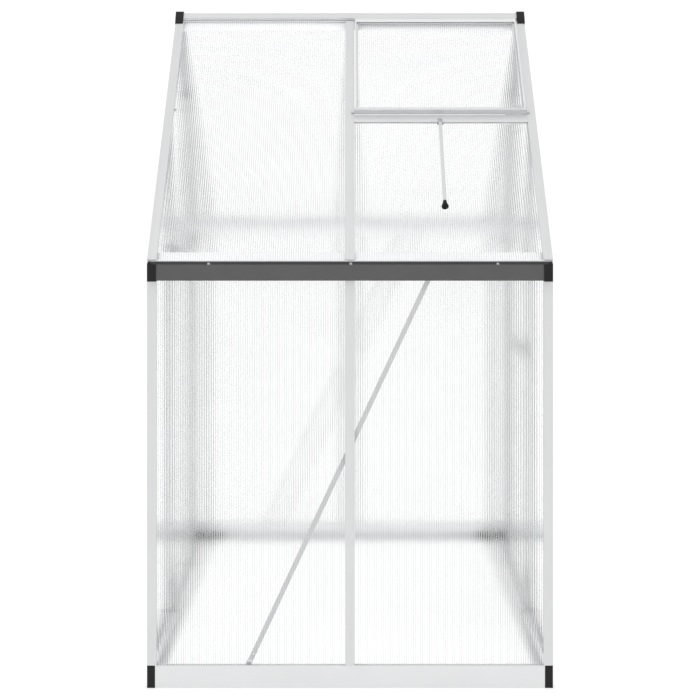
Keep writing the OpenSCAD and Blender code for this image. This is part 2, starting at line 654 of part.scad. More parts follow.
// Plate across two bars on the inside of a gable, drilled at both ends
module gusset(x0, z0, x1, z1, screwed) difference() {
  translate([x0, lip, z0]) rotate([0, -atan2(z1 - z0, x1 - x0), 0])
    translate([-gusset_w / 2, 0, -gusset_w / 2])
      cube([norm([x1 - x0, z1 - z0]) + gusset_w, sheet_t, gusset_w]);
  wall_hole(x0, z0);
  inward([x1, lip - 1, z1]) cylinder(r = screwed ? tap_r : hole_r, h = 4);
  above_rafters(7.9);
}
module gusset_set(gussets) for (row = gussets)
  both_sides() gusset(row[0], row[1], row[2], row[3], row[4]);
module gusset_plates() color(steel) {
  left_wall() gusset_set(left_gussets);
  right_wall() gusset_set(right_gussets);
}
module gable_bolts(gussets) {
  for (x = [-stud_x, stud_x]) wall_bolt(x, bar_bolt_zs[0]);
  for (x = bracket_ys) wall_bolt(x, bracket_z, lip);
  for (row = gussets) both_sides() {
    wall_bolt(row[0], row[1]);
    if (row[4]) wall_screw(row[2], row[3]);
    else wall_bolt(row[2], row[3]);
  }
}
module gable_nuts(gussets) {
  for (x = [-stud_x, stud_x]) wall_nut(x, bar_bolt_zs[0]);
  for (x = bracket_ys) wall_nut(x, bracket_z, flange_in + bracket_t);
  for (row = gussets) both_sides() {
    wall_nut(row[0], row[1]);
    if (!row[4]) wall_nut(row[2], row[3]);
  }
}
module frame_bolts() color(steel) {
  both_eaves() {
    for (z = bar_bolt_zs) wall_bolt(0, z);
    for (x = [-half_x + corner_screw, half_x - corner_screw], z = post_screw_zs) wall_screw(x, z);
    for (x = bracket_xs) wall_bolt(x, bracket_z, lip);
    for (end = [brace_foot, brace_head]) wall_bolt(end[0], end[1], lip);
  }
  both_slopes() for (x = rafter_xs, run = rafter_runs) slope_bolt(x, run);
  front_slope() slope_bolt(0, vent_bolt_run);
  front_slope() slope_screw(half_x - corner_screw, vent_bolt_run);
  left_wall() gable_bolts(left_gussets);
  right_wall() gable_bolts(right_gussets);
}
module frame_nuts() color(steel) {
  both_eaves() {
    for (z = bar_bolt_zs) wall_nut(0, z);
    for (x = bracket_xs) wall_nut(x, bracket_z, flange_in + bracket_t);
    for (end = [brace_foot, brace_head]) wall_nut(end[0], end[1], flange_in + brace_t);
  }
  both_slopes() for (x = rafter_xs, run = rafter_runs) slope_nut(x, run);
  front_slope() slope_nut(0, vent_bolt_run);
  left_wall() gable_nuts(left_gussets);
  right_wall() gable_nuts(right_gussets);
}

// ---------- glazing ----------
web_gap = 2;                       // pane edge from the middle of a bar
pane_x = half_x - lip - 1;         // pane edge beside a corner tube
pane_z0 = 48.5;
roof_run0 = 21;
roof_run1 = 1091;
module wall_panes() both_sides() translate([web_gap, pane_out, pane_z0])
  cube([pane_x - web_gap, pane_t, eave_shelf - 1.5 - pane_z0]);
module front_wall_panes() color(glazing) front_wall() wall_panes();
module rear_wall_panes() color(glazing) rear_wall() wall_panes();
module slope_pane(x0, x1, run0) translate([x0, -roof_run1, -pane_in])
  cube([x1 - x0, roof_run1 - run0, pane_t]);
module roof_panes() color(glazing) {
  both_slopes() slope_pane(-pane_x, -web_gap, roof_run0);
  // short pane below the vent
  front_slope() slope_pane(web_gap, pane_x, 509.6);
  rear_slope() slope_pane(web_gap, pane_x, roof_run0);
}
side_x0 = stud_x + web_gap;        // side panes of a gable
side_x1 = half_y - 17.2;
mid_x = stud_x - web_gap;          // half width of the panes between the studs
// Point on the upper edge of the gable panes
function verge(x) = [x, plane_z(abs(x), 16.4)];
module gable_side_panes() both_sides() as_pane() {
  rect(side_x0, pane_z0, side_x1, rail_z - web_gap);
  polygon([[side_x0, rail_z + web_gap], [rail_end, rail_z + web_gap],
    verge(rail_end), verge(side_x0)]);
}
// Pane under the apex, its tip cut off level
module apex_pane(z) as_pane()
  polygon([[-mid_x, z], [mid_x, z], verge(mid_x), verge(40), verge(-40), verge(-mid_x)]);
module left_gable_panes() color(glazing) left_wall() {
  gable_side_panes();
  as_pane() rect(-mid_x, pane_z0, mid_x, rail_z - web_gap);
  apex_pane(rail_z + web_gap);
}
module right_gable_panes() color(glazing) right_wall() {
  gable_side_panes();
  apex_pane(header_z + web_gap);
}

// ---------- door ----------
leaf_x = stud_x - face_w / 2 - 3;  // half width of the leaf
door_bot = sill_h + 3;
leaf_tube = 18;                    // stiles, top and bottom rails
mid_tube = 12;                     // each half of the middle rail
leaf_lip = 12;                     // lips that hold the sheet
door_rail_x = leaf_x - leaf_tube - leaf_lip - 0.2;
handle_x = -leaf_x + 12;
handle_z = door_mid + 95;
handle_zs = [-35, 35];             // handle posts about its middle
// Tube at the outer edge, two lips towards the sheet, in (x, y)
module leaf_section(tube) {
  difference() {
    rect(0, 0, tube, 14);
    rect(sheet_t, sheet_t, tube - sheet_t, 14 - sheet_t);
  }
  rect(tube - lap, 0, tube + leaf_lip, sheet_t);
  rect(tube - lap, slot_in, tube + leaf_lip, plate_in);
}
module door_stiles() color(alu) right_wall() difference() {
  both_sides() translate([-leaf_x, 0, 0]) up(door_bot, door_top) leaf_section(leaf_tube);
  for (z = handle_zs) inward([handle_x, -1, handle_z + z]) cylinder(r = 2.1, h = 3);
}
module door_rails() color(alu) right_wall() {
  level_bar(-door_rail_x, door_rail_x, door_bot) leaf_section(leaf_tube);
  level_bar(-door_rail_x, door_rail_x, door_top) mirror([1, 0]) leaf_section(leaf_tube);
  level_bar(-door_rail_x, door_rail_x, door_mid) both_sides() leaf_section(mid_tube);
}
module door_panes() color(glazing) right_wall() as_pane() {
  edge = leaf_tube + 1;
  mid_edge = mid_tube + 1;
  rect(-leaf_x + edge, door_bot + edge, leaf_x - edge, door_mid - mid_edge);
  rect(-leaf_x + edge, door_mid + mid_edge, leaf_x - edge, door_top - edge);
}

hinge_zs = [220, 735, 1456];
hinge_x = stud_x - face_w / 2 + 1.5;  // pin axis along the gable
hinge_out = 6;                     // pin axis outside the gable face
hinge_h = 32;                      // half height of a hinge
module at_hinges() right_wall() for (z = hinge_zs) translate([hinge_x, 0, z]) children();
module hinge_plate(x, width, screw_x) {
  translate([x, -1.6, -hinge_h]) cube([width, 1.6, 2 * hinge_h]);
  for (z = [-20, 20]) inward([screw_x, -2.8, z]) cylinder(r = 3.4, h = 2);
}
// Knuckle with a web back to the plate, the web starting at web_x
module knuckle(z0, z1, web_x) {
  translate([0, -hinge_out, z0]) cylinder(r = 4.4, h = z1 - z0);
  translate([web_x, -hinge_out, z0]) cube([4, hinge_out, z1 - z0]);
}
module pin_bore() translate([0, -hinge_out, -40]) cylinder(r = 2.55, h = 80);
module hinge_frame_leaves() color(steel) at_hinges() difference() {
  union() {
    hinge_plate(3, 20, 15);
    knuckle(-hinge_h, -11, 1);
    knuckle(11, hinge_h, 1);
  }
  pin_bore();
}
module hinge_door_leaves() color(steel) at_hinges() difference() {
  union() {
    hinge_plate(-25, 22, -16);
    knuckle(-10.6, 10.6, -5);
  }
  pin_bore();
}
module hinge_pins() color(steel) at_hinges() translate([0, -hinge_out, 0]) {
  translate([0, 0, -34]) cylinder(r = 2.5, h = 68);
  translate([0, 0, 32.2]) cylinder(r = 4, h = 2.6);
}

grip_r = 5.5;
grip_y = -25;
module door_handle() color(black) right_wall() translate([handle_x, 0, handle_z]) {
  for (z = handle_zs) {
    inward([0, -3, z]) cylinder(r = 8.5, h = 3);
    inward([0, grip_y, z]) cylinder(r = grip_r, h = 23);
    inward([0, -1, z]) cylinder(r = 2, h = 3.4);
    translate([0, grip_y, z]) sphere(r = grip_r);
  }
  translate([0, grip_y, handle_zs[0]]) cylinder(r = grip_r, h = handle_zs[1] - handle_zs[0]);
}
button_r = 8;
button_t = 3.6;
button_l = 34;                     // between the centres of its round ends
module turn_button() color(black) right_wall() translate([-stud_x, 0, button_z]) difference() {
  union() {
    for (z = [0, button_l]) inward([0, -4, z]) cylinder(r = button_r, h = button_t);
    translate([-button_r, -4, 0]) cube([2 * button_r, button_t, button_l]);
    // rib to turn it by
    translate([-1.6, -9, 6]) cube([3.2, 6, 30]);
  }
  inward([0, -6, 0]) cylinder(r = 2.55, h = 8);
}
module turn_button_screw() color(steel) right_wall() inward([-stud_x, 0, button_z]) {
  translate([0, 0, -6.6]) cylinder(r = 4.4, h = 2.4);
  translate([0, 0, -5]) cylinder(r = 2.5, h = 4.9);
  translate([0, 0, -1]) cylinder(r = 1.9, h = 6);
}

front_base_sill();
rear_base_sill();
left_base_sill();
right_base_sill();
base_corner_blocks();
base_corner_brackets();
front_left_post();
front_right_post();
rear_left_post();
rear_right_post();
front_mullion();
rear_mullion();
left_gable_studs();
door_hinge_stud();
door_latch_stud();
gable_rails();
door_header();
front_eave_beam();
rear_eave_beam();
front_gutter();
rear_gutter();
eave_end_caps();
gutter_screws();
ridge_beam();
ridge_end_caps();
front_left_rafter();
front_right_rafter();
rear_left_rafter();
rear_right_rafter();
front_centre_rafter();
rear_centre_rafter();
vent_sill();
sash_top_rail();
sash_bottom_rail();
sash_stiles();
sash_pane();
sash_end_plugs();
stay_bracket();
stay_pivot_pin();
stay_bar();
stay_tip();
front_brace();
rear_brace();
gusset_plates();
frame_bolts();
frame_nuts();
front_wall_panes();
rear_wall_panes();
roof_panes();
left_gable_panes();
right_gable_panes();
door_stiles();
door_rails();
door_panes();
hinge_frame_leaves();
hinge_door_leaves();
hinge_pins();
door_handle();
turn_button();
turn_button_screw();
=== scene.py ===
import bpy, bmesh, math
from mathutils import Vector, Matrix


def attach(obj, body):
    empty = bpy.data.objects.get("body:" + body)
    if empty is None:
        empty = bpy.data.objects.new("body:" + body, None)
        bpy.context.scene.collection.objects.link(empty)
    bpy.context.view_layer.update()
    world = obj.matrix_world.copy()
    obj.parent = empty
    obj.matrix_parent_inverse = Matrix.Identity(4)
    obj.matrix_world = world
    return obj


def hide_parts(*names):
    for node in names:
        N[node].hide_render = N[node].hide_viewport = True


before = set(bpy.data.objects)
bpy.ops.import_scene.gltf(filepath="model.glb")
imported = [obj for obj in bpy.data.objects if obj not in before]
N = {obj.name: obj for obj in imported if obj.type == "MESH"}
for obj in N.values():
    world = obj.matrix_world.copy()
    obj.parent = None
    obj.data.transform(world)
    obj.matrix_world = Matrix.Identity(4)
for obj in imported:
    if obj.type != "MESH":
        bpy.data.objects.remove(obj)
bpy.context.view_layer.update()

PITCH = math.radians(42.0)
MM = 0.001

# ------------------------------------------------------------------ materials
def new_mat(name):
    m = bpy.data.materials.new(name)
    m.use_nodes = True
    nt = m.node_tree
    nt.nodes.clear()
    out = nt.nodes.new("ShaderNodeOutputMaterial")
    return m, nt, out

def coords(nt, scale, rot=(0, 0, 0)):
    # two steps, so that the streaks are stretched along the turned axis
    tc = nt.nodes.new("ShaderNodeTexCoord")
    mp = nt.nodes.new("ShaderNodeMapping")
    mp.inputs["Rotation"].default_value = rot
    nt.links.new(tc.outputs["Object"], mp.inputs["Vector"])
    mp2 = nt.nodes.new("ShaderNodeMapping")
    mp2.inputs["Scale"].default_value = scale
    nt.links.new(mp.outputs["Vector"], mp2.inputs["Vector"])
    return mp2.outputs["Vector"]

def noise(nt, vec, scale, detail=4.0, rough=0.55):
    n = nt.nodes.new("ShaderNodeTexNoise")
    n.inputs["Scale"].default_value = scale
    n.inputs["Detail"].default_value = detail
    n.inputs["Roughness"].default_value = rough
    nt.links.new(vec, n.inputs["Vector"])
    return n.outputs["Fac"]

def remap(nt, fac, lo, hi, f0=0.3, f1=0.7):
    r = nt.nodes.new("ShaderNodeMapRange")
    r.inputs["From Min"].default_value = f0
    r.inputs["From Max"].default_value = f1
    r.inputs["To Min"].default_value = lo
    r.inputs["To Max"].default_value = hi
    nt.links.new(fac, r.inputs["Value"])
    return r.outputs["Result"]

def mix_col(nt, fac, a, b):
    m = nt.nodes.new("ShaderNodeMix")
    m.data_type = "RGBA"
    m.inputs[6].default_value = (*a, 1)
    m.inputs[7].default_value = (*b, 1)
    nt.links.new(fac, m.inputs[0])
    return m.outputs[2]

def bump(nt, fac, strength, dist, prev=None):
    b = nt.nodes.new("ShaderNodeBump")
    b.inputs["Strength"].default_value = strength
    b.inputs["Distance"].default_value = dist
    nt.links.new(fac, b.inputs["Height"])
    if prev is not None:
        nt.links.new(prev, b.inputs["Normal"])
    return b.outputs["Normal"]

AXIS = {  # (mapping scale, mapping rotation) that stretches streaks along the extrusion
    "x": ((1.5, 260, 260), (0, 0, 0)),
    "y": ((260, 1.5, 260), (0, 0, 0)),
    "z": ((260, 260, 1.5), (0, 0, 0)),
    "sf": ((260, 1.5, 260), (-PITCH, 0, 0)),
    "sr": ((260, 1.5, 260), (PITCH, 0, 0)),
    "b": ((1.5, 260, 260), (0, math.radians(65.2), 0)),
}

def metal(name, base, axis="x", rough=(0.34, 0.48), metallic=0.82, streak=0.03, up=1.0, down=1.0, inner=None):
    m, nt, out = new_mat(name)
    p = nt.nodes.new("ShaderNodeBsdfPrincipled")
    sc, rot = AXIS[axis]
    v = coords(nt, sc, rot)
    streaks = noise(nt, v, 1.0, 3.0)
    v2 = coords(nt, (1, 1, 1))
    cloud = noise(nt, v2, 9.0, 5.0)
    fine = noise(nt, v2, 900.0, 2.0)
    add = nt.nodes.new("ShaderNodeMath"); add.operation = "MULTIPLY_ADD"
    nt.links.new(streaks, add.inputs[0]); add.inputs[1].default_value = 0.6
    half = nt.nodes.new("ShaderNodeMath"); half.operation = "MULTIPLY"; half.inputs[1].default_value = 0.4
    nt.links.new(cloud, half.inputs[0]); nt.links.new(half.outputs[0], add.inputs[2])
    lo = tuple(c * (1 - streak) for c in base)
    hi = tuple(min(1, c * (1 + streak)) for c in base)
    col = mix_col(nt, remap(nt, add.outputs[0], 0, 1), lo, hi)
    if up != 1.0 or down != 1.0:
        # painted light and shade: the colour is scaled by the normal's height, from down on faces turned down to up
        # on faces turned up, so the lit and shaded sides of one metal differ
        ge = nt.nodes.new("ShaderNodeNewGeometry")
        sp = nt.nodes.new("ShaderNodeSeparateXYZ")
        nt.links.new(ge.outputs["Normal"], sp.inputs[0])
        k = remap(nt, sp.outputs["Z"], down, up, -0.7, 0.75)
        vm = nt.nodes.new("ShaderNodeVectorMath"); vm.operation = "SCALE"
        nt.links.new(col, vm.inputs[0]); nt.links.new(k, vm.inputs["Scale"])
        col = vm.outputs[0]
    if inner:
        # painted light: sheltered faces, where |y| * a + z * b is below c, get a paler colour (base times k) and less
        # metallic, to lift the shade that falls on them
        a, b, c, k = inner
        ge = nt.nodes.new("ShaderNodeNewGeometry")
        sp = nt.nodes.new("ShaderNodeSeparateXYZ")
        nt.links.new(ge.outputs["Position"], sp.inputs[0])
        ab = nt.nodes.new("ShaderNodeMath"); ab.operation = "ABSOLUTE"
        nt.links.new(sp.outputs["Y"], ab.inputs[0])
        m1 = nt.nodes.new("ShaderNodeMath"); m1.operation = "MULTIPLY"; m1.inputs[1].default_value = a
        nt.links.new(ab.outputs[0], m1.inputs[0])
        m2 = nt.nodes.new("ShaderNodeMath"); m2.operation = "MULTIPLY_ADD"; m2.inputs[1].default_value = b
        nt.links.new(sp.outputs["Z"], m2.inputs[0]); nt.links.new(m1.outputs[0], m2.inputs[2])
        lt = nt.nodes.new("ShaderNodeMath"); lt.operation = "LESS_THAN"; lt.inputs[1].default_value = c
        nt.links.new(m2.outputs[0], lt.inputs[0])
        pale = mix_col(nt, remap(nt, add.outputs[0], 0, 1), tuple(min(0.97, q * k * (1 - streak)) for q in base),
                       tuple(min(0.98, q * k * (1 + streak)) for q in base))
        mc = nt.nodes.new("ShaderNodeMix"); mc.data_type = "RGBA"
        nt.links.new(lt.outputs[0], mc.inputs["Factor"])
        nt.links.new(col, mc.inputs[6])
        nt.links.new(pale, mc.inputs[7])
        col = mc.outputs[2]
        mm = nt.nodes.new("ShaderNodeMath"); mm.operation = "MULTIPLY_ADD"
        nt.links.new(lt.outputs[0], mm.inputs[0])
        mm.inputs[1].default_value = 0.1 - metallic; mm.inputs[2].default_value = metallic
        nt.links.new(mm.outputs[0], p.inputs["Metallic"])
    nt.links.new(col, p.inputs["Base Color"])
    nt.links.new(remap(nt, streaks, rough[0], rough[1]), p.inputs["Roughness"])
    n1 = bump(nt, streaks, 0.10, 0.0004)
    nt.links.new(bump(nt, fine, 0.05, 0.0002, n1), p.inputs["Normal"])
    p.inputs["Metallic"].default_value = metallic
    nt.links.new(p.outputs[0], out.inputs[0])
    return m

def plastic(name, base, rough=(0.42, 0.55), grain=1200.0, spec=0.35, var=0.12, axis=None, gb=0.16):
    m, nt, out = new_mat(name)
    p = nt.nodes.new("ShaderNodeBsdfPrincipled")
    v = coords(nt, (1, 1, 1))
    cloud = noise(nt, v, 14.0, 5.0)
    fine = noise(nt, v, grain, 3.0)
    lo = tuple(c * (1 - var) for c in base); hi = tuple(c * (1 + var) for c in base)
    nt.links.new(mix_col(nt, remap(nt, cloud, 0, 1), lo, hi), p.inputs["Base Color"])
    nt.links.new(remap(nt, fine, rough[0], rough[1]), p.inputs["Roughness"])
    n1 = bump(nt, fine, gb, 0.00035)
    if axis:
        sc, rot = AXIS[axis]
        n1 = bump(nt, noise(nt, coords(nt, sc, rot), 1.0, 2.0), 0.08, 0.0004, n1)
    nt.links.new(n1, p.inputs["Normal"])
    p.inputs["Specular IOR Level"].default_value = spec
    nt.links.new(p.outputs[0], out.inputs[0])
    return m

ALU = (0.645, 0.65, 0.655)
# roof underside plane: faces where |y| * 0.9004 + z is below 1.933 count as sheltered, and painted light makes them
# paler
ROOF = (0.9004, 1.0, 1.933)
alu = {a: metal("frame_aluminium_" + a, ALU, a) for a in ("x", "y", "z", "sf", "sr")}
# painted light and shade: the sash's top faces are paler and its undersides darker
sash = {a: metal("sash_aluminium_" + a, (0.70, 0.705, 0.71), a, up=1.06, down=0.92) for a in ("x", "sf")}
# painted light: the ridge's undersides are made paler (down 1.38), and its faces under the roof plane paler by 1.52
# and less metallic, to lift the shade under the ridge
ridge_m = metal("ridge_aluminium", (0.64, 0.645, 0.65), "x", up=1.0, down=1.38, inner=(*ROOF, 1.52))
# painted light: the vent sill is paler than the frame metal to lift the shadow the sash casts on it; its top faces
# are paler still, and its faces under the roof plane are paler by 1.42 and less metallic
vent_m = metal("vent_sill_aluminium", (0.68, 0.685, 0.69), "x", up=1.05, inner=(*ROOF, 1.42))
# painted light: the base sill is paler than the frame metal to lift the shade near the floor, and its inner faces
# (|y| below 0.8122) are paler by 1.12 and less metallic
sill_m = metal("base_sill_aluminium", (0.72, 0.725, 0.73), "x", inner=(1.0, 0.0, 0.8122, 1.12))
# painted light: the eave beams are much paler than the frame metal, and their undersides paler still, to lift the
# shade on the eave band seen through the sheets
eave_m = metal("eave_aluminium", (0.88, 0.885, 0.89), "x", down=1.08)
brace_m = metal("brace_aluminium", (0.56, 0.565, 0.572), "b")
zinc = metal("zinc_steel", (0.50, 0.51, 0.52), "x", (0.28, 0.45), 0.95, 0.08)
black = plastic("black_plastic", (0.0075, 0.0075, 0.008), spec=0.25)
rubber = plastic("black_rubber", (0.006, 0.006, 0.006), (0.62, 0.78), 700.0, 0.2, 0.2, gb=0.3)
pvc = plastic("grey_pvc", (0.082, 0.082, 0.084), (0.36, 0.46), 1500.0, 0.3, 0.05, "x", 0.06)

def glazing(name, tint, cloud_amount, blur, ior, bulge=0.00011):
    """Clear polycarbonate: lets light straight through with a slight spread, a soft sheen at grazing angles, and a faint extruded haze."""
    m, nt, out = new_mat(name)
    ref = nt.nodes.new("ShaderNodeBsdfRefraction")
    ref.inputs["IOR"].default_value = ior
    v = coords(nt, (1, 1, 1))
    cloud = noise(nt, v, 6.0, 4.0)
    nt.links.new(remap(nt, cloud, blur * 0.85, blur * 1.15), ref.inputs["Roughness"])
    lo = tuple(c * 0.994 for c in tint)
    nt.links.new(mix_col(nt, remap(nt, cloud, 0, 1), lo, tint), ref.inputs["Color"])
    # each cell bulges a little, so the sheet draws what is behind it in fine stripes
    tc = nt.nodes.new("ShaderNodeTexCoord")
    sn = nt.nodes.new("ShaderNodeSeparateXYZ"); nt.links.new(tc.outputs["Normal"], sn.inputs[0])
    sp = nt.nodes.new("ShaderNodeSeparateXYZ"); nt.links.new(tc.outputs["Object"], sp.inputs[0])
    def math_node(op, a, b):
        m = nt.nodes.new("ShaderNodeMath"); m.operation = op
        for k, q in enumerate((a, b)):
            if q is None:
                continue
            if isinstance(q, (int, float)):
                m.inputs[k].default_value = q
            else:
                nt.links.new(q, m.inputs[k])
        return m.outputs[0]
    side = math_node("GREATER_THAN", math_node("ABSOLUTE", sn.outputs["X"], None), 0.5)
    across = math_node("ADD", sp.outputs["X"], math_node("MULTIPLY", side, math_node("SUBTRACT", sp.outputs["Y"], sp.outputs["X"])))
    wave = math_node("SINE", math_node("MULTIPLY", across, 2 * math.pi / 0.00646), None)
    ge = nt.nodes.new("ShaderNodeNewGeometry")
    lens = nt.nodes.new("ShaderNodeBump")
    lens.inputs["Distance"].default_value = bulge
    nt.links.new(math_node("SUBTRACT", 1.0, ge.outputs["Backfacing"]), lens.inputs["Strength"])
    nt.links.new(wave, lens.inputs["Height"])
    nt.links.new(lens.outputs["Normal"], ref.inputs["Normal"])
    tr = nt.nodes.new("ShaderNodeBsdfTransparent")
    tr.inputs["Color"].default_value = (*tint, 1)
    haze = nt.nodes.new("ShaderNodeBsdfPrincipled")
    haze.inputs["Base Color"].default_value = (0.93, 0.94, 0.95, 1)
    haze.inputs["Roughness"].default_value = 0.32
    fine = noise(nt, coords(nt, (900, 900, 2)), 1.0, 2.0)
    nt.links.new(bump(nt, fine, 0.05, 0.0002), haze.inputs["Normal"])
    lw = nt.nodes.new("ShaderNodeLayerWeight")
    lw.inputs["Blend"].default_value = 0.25
    fac = nt.nodes.new("ShaderNodeMath"); fac.operation = "MULTIPLY_ADD"
    nt.links.new(lw.outputs["Fresnel"], fac.inputs[0])
    fac.inputs[1].default_value = 0.25
    fac.inputs[2].default_value = cloud_amount
    mx = nt.nodes.new("ShaderNodeMixShader")
    nt.links.new(fac.outputs[0], mx.inputs[0])
    nt.links.new(ref.outputs[0], mx.inputs[1])
    nt.links.new(haze.outputs[0], mx.inputs[2])
    # seen edge on, a sheet mirrors the pale room softly and lets the rest straight through
    lw2 = nt.nodes.new("ShaderNodeLayerWeight")
    lw2.inputs["Blend"].default_value = 0.5
    ramp = nt.nodes.new("ShaderNodeMapRange")
    ramp.interpolation_type = "SMOOTHSTEP"
    ramp.inputs["From Min"].default_value = 0.50
    ramp.inputs["From Max"].default_value = 0.78
    nt.links.new(lw2.outputs["Facing"], ramp.inputs["Value"])
    gl = nt.nodes.new("ShaderNodeBsdfGlossy")
    gl.inputs["Color"].default_value = (1, 1, 1, 1)
    nt.links.new(remap(nt, cloud, 0.06, 0.11), gl.inputs["Roughness"])
    edge = nt.nodes.new("ShaderNodeMixShader")
    edge.inputs[0].default_value = 0.60
    nt.links.new(tr.outputs[0], edge.inputs[1])
    nt.links.new(gl.outputs[0], edge.inputs[2])
    mxe = nt.nodes.new("ShaderNodeMixShader")
    nt.links.new(ramp.outputs["Result"], mxe.inputs[0])
    nt.links.new(mx.outputs[0], mxe.inputs[1])
    nt.links.new(edge.outputs[0], mxe.inputs[2])
    mx = mxe
    # shadow and diffuse rays pass straight, so the inside is lit as brightly as outside
    lp = nt.nodes.new("ShaderNodeLightPath")
    mxr = nt.nodes.new("ShaderNodeMath"); mxr.operation = "MAXIMUM"
    nt.links.new(lp.outputs["Is Shadow Ray"], mxr.inputs[0])
    nt.links.new(lp.outputs["Is Diffuse Ray"], mxr.inputs[1])
    # rough refraction counts as glossy too, so only mirrored rays are taken here
    refl = nt.nodes.new("ShaderNodeMath"); refl.operation = "SUBTRACT"; refl.use_clamp = True
    nt.links.new(lp.outputs["Is Glossy Ray"], refl.inputs[0])
    nt.links.new(lp.outputs["Is Transmission Ray"], refl.inputs[1])
    mxg = nt.nodes.new("ShaderNodeMath"); mxg.operation = "MAXIMUM"
    nt.links.new(mxr.outputs[0], mxg.inputs[0])
    nt.links.new(refl.outputs[0], mxg.inputs[1])
    mxr = mxg
    mx2 = nt.nodes.new("ShaderNodeMixShader")
    nt.links.new(mxr.outputs[0], mx2.inputs[0])
    nt.links.new(mx.outputs[0], mx2.inputs[1])
    nt.links.new(tr.outputs[0], mx2.inputs[2])
    nt.links.new(mx2.outputs[0], out.inputs[0])
    return m

skin_m = glazing("polycarbonate_skin", (0.999, 0.9995, 0.9995), 0.010, 0.19, 1.12)

def rib_material(name, lo, hi):
    m, nt, out = new_mat(name)
    tr = nt.nodes.new("ShaderNodeBsdfTransparent")
    v = coords(nt, (1, 1, 1))
    cloud = noise(nt, v, 30.0, 3.0)
    nt.links.new(mix_col(nt, remap(nt, cloud, 0, 1), lo, hi), tr.inputs["Color"])
    p = nt.nodes.new("ShaderNodeBsdfPrincipled")
    p.inputs["Base Color"].default_value = (0.85, 0.86, 0.87, 1)
    nt.links.new(remap(nt, cloud, 0.3, 0.45), p.inputs["Roughness"])
    nt.links.new(bump(nt, noise(nt, coords(nt, (900, 900, 2)), 1.0, 2.0), 0.05, 0.0002), p.inputs["Normal"])
    mx = nt.nodes.new("ShaderNodeMixShader")
    mx.inputs[0].default_value = 0.01
    nt.links.new(tr.outputs[0], mx.inputs[1])
    nt.links.new(p.outputs[0], mx.inputs[2])
    nt.links.new(mx.outputs[0], out.inputs[0])
    return m
rib_m = rib_material("polycarbonate_rib", (0.994, 0.9945, 0.995), (0.998, 0.998, 0.9985))
# painted shade: the rib ends let only about two thirds of the light through, standing in for the light a clear rib
# bends aside, which draws the sheets' fine stripes
rib_end_m = rib_material("polycarbonate_rib_end", (0.62, 0.625, 0.63), (0.74, 0.745, 0.75))

def assign(o, m):
    o.data.materials.clear()
    o.data.materials.append(m)

MATS = {}
for n in ("front_base_sill", "rear_base_sill", "front_eave_beam", "rear_eave_beam", "ridge_beam", "vent_sill"):
    MATS[n] = alu["x"]
for n in ("left_base_sill", "right_base_sill", "gable_rails", "door_header", "door_rails"):
    MATS[n] = alu["y"]
for n in ("front_left_post", "front_right_post", "rear_left_post", "rear_right_post", "front_mullion", "rear_mullion",
          "left_gable_studs", "door_hinge_stud", "door_latch_stud", "door_stiles"):
    MATS[n] = alu["z"]
for n in ("front_left_rafter", "front_right_rafter", "front_centre_rafter", "stay_bar"):
    MATS[n] = alu["sf"]
for n in ("rear_left_rafter", "rear_right_rafter", "rear_centre_rafter"):
    MATS[n] = alu["sr"]
MATS["ridge_beam"] = ridge_m
MATS["vent_sill"] = vent_m
MATS["left_base_sill"] = MATS["right_base_sill"] = metal("gable_sill_aluminium", (0.80, 0.805, 0.81), "y", metallic=0.35)
MATS["front_eave_beam"] = MATS["rear_eave_beam"] = eave_m
MATS["front_base_sill"] = MATS["rear_base_sill"] = sill_m
MATS["sash_end_plugs"] = plastic("sash_plug_plastic", (0.55, 0.555, 0.56))
MATS["sash_top_rail"] = MATS["sash_bottom_rail"] = sash["x"]
# painted light: the sash top rail's undersides are made paler (down 1.38) to lift the shade in the gap under it
MATS["sash_top_rail"] = metal("sash_top_aluminium", (0.70, 0.705, 0.71), "x", up=1.06, down=1.38)
MATS["sash_stiles"] = sash["sf"]
MATS["front_brace"] = MATS["rear_brace"] = brace_m
for n in ("base_corner_brackets", "gusset_plates", "frame_bolts", "frame_nuts", "gutter_screws", "stay_bracket",
          "stay_pivot_pin", "hinge_frame_leaves", "hinge_door_leaves", "hinge_pins", "turn_button_screw"):
    MATS[n] = zinc
for n in ("base_corner_blocks", "eave_end_caps", "ridge_end_caps", "door_handle", "turn_button"):
    MATS[n] = black
MATS["front_gutter"] = MATS["rear_gutter"] = pvc
MATS["stay_tip"] = rubber
MATS["base_corner_brackets"] = metal("pale_zinc", (0.78, 0.785, 0.79), "x", (0.30, 0.42), 0.5, 0.04)
MATS["stay_pivot_pin"] = metal("dark_steel", (0.07, 0.07, 0.072), "x", (0.40, 0.52), 0.6, 0.08)
MATS["gutter_screws"] = metal("bright_zinc", (0.93, 0.935, 0.94), "x", (0.30, 0.42), 0.6, 0.03)
PANES = {"front_wall_panes": "frame", "rear_wall_panes": "frame", "roof_panes": "frame", "left_gable_panes": "frame",
         "right_gable_panes": "frame", "door_panes": "door", "sash_pane": "vent_sash"}
for n, o in N.items():
    if n in PANES:
        assign(o, skin_m)
    else:
        assign(o, MATS[n])

# ------------------------------------------------------------------ twin-wall sheets
PITCH_RIB = 6.46 * MM
SKIN = 0.45 * MM
RIB = 0.35 * MM

